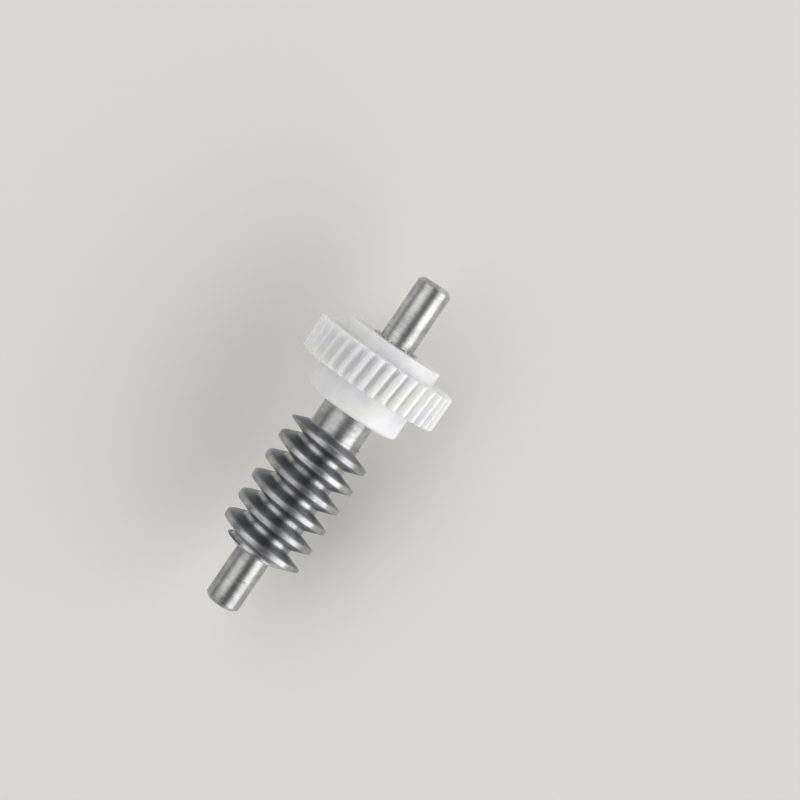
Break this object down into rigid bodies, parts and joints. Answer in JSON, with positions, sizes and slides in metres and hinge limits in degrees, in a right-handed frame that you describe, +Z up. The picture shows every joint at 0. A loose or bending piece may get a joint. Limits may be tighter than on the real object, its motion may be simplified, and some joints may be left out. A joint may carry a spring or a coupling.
{
  "type": "worm gear set",
  "caption": "Steel worm shaft with bearing journals at both ends and a white nylon worm wheel pressed on its knurled seat, for a small folding drive.",
  "frame": {"origin": "on the shaft's axis, where the lower journal meets the worm's lower thrust face", "axes": "+X along the shaft's axis towards the wheel end and the upper journal, +Z up with the shaft lying level"},
  "size_m": [0.0411, 0.0164, 0.0164],
  "materials": {
    "turned_steel": "fine-turned, bare, lightly oiled",
    "white_nylon": "moulded satin"
  },
  "bodies": {
    "root": {"worm_shaft": "turned_steel", "worm_wheel": "white_nylon"}
  },
  "joints": []
}
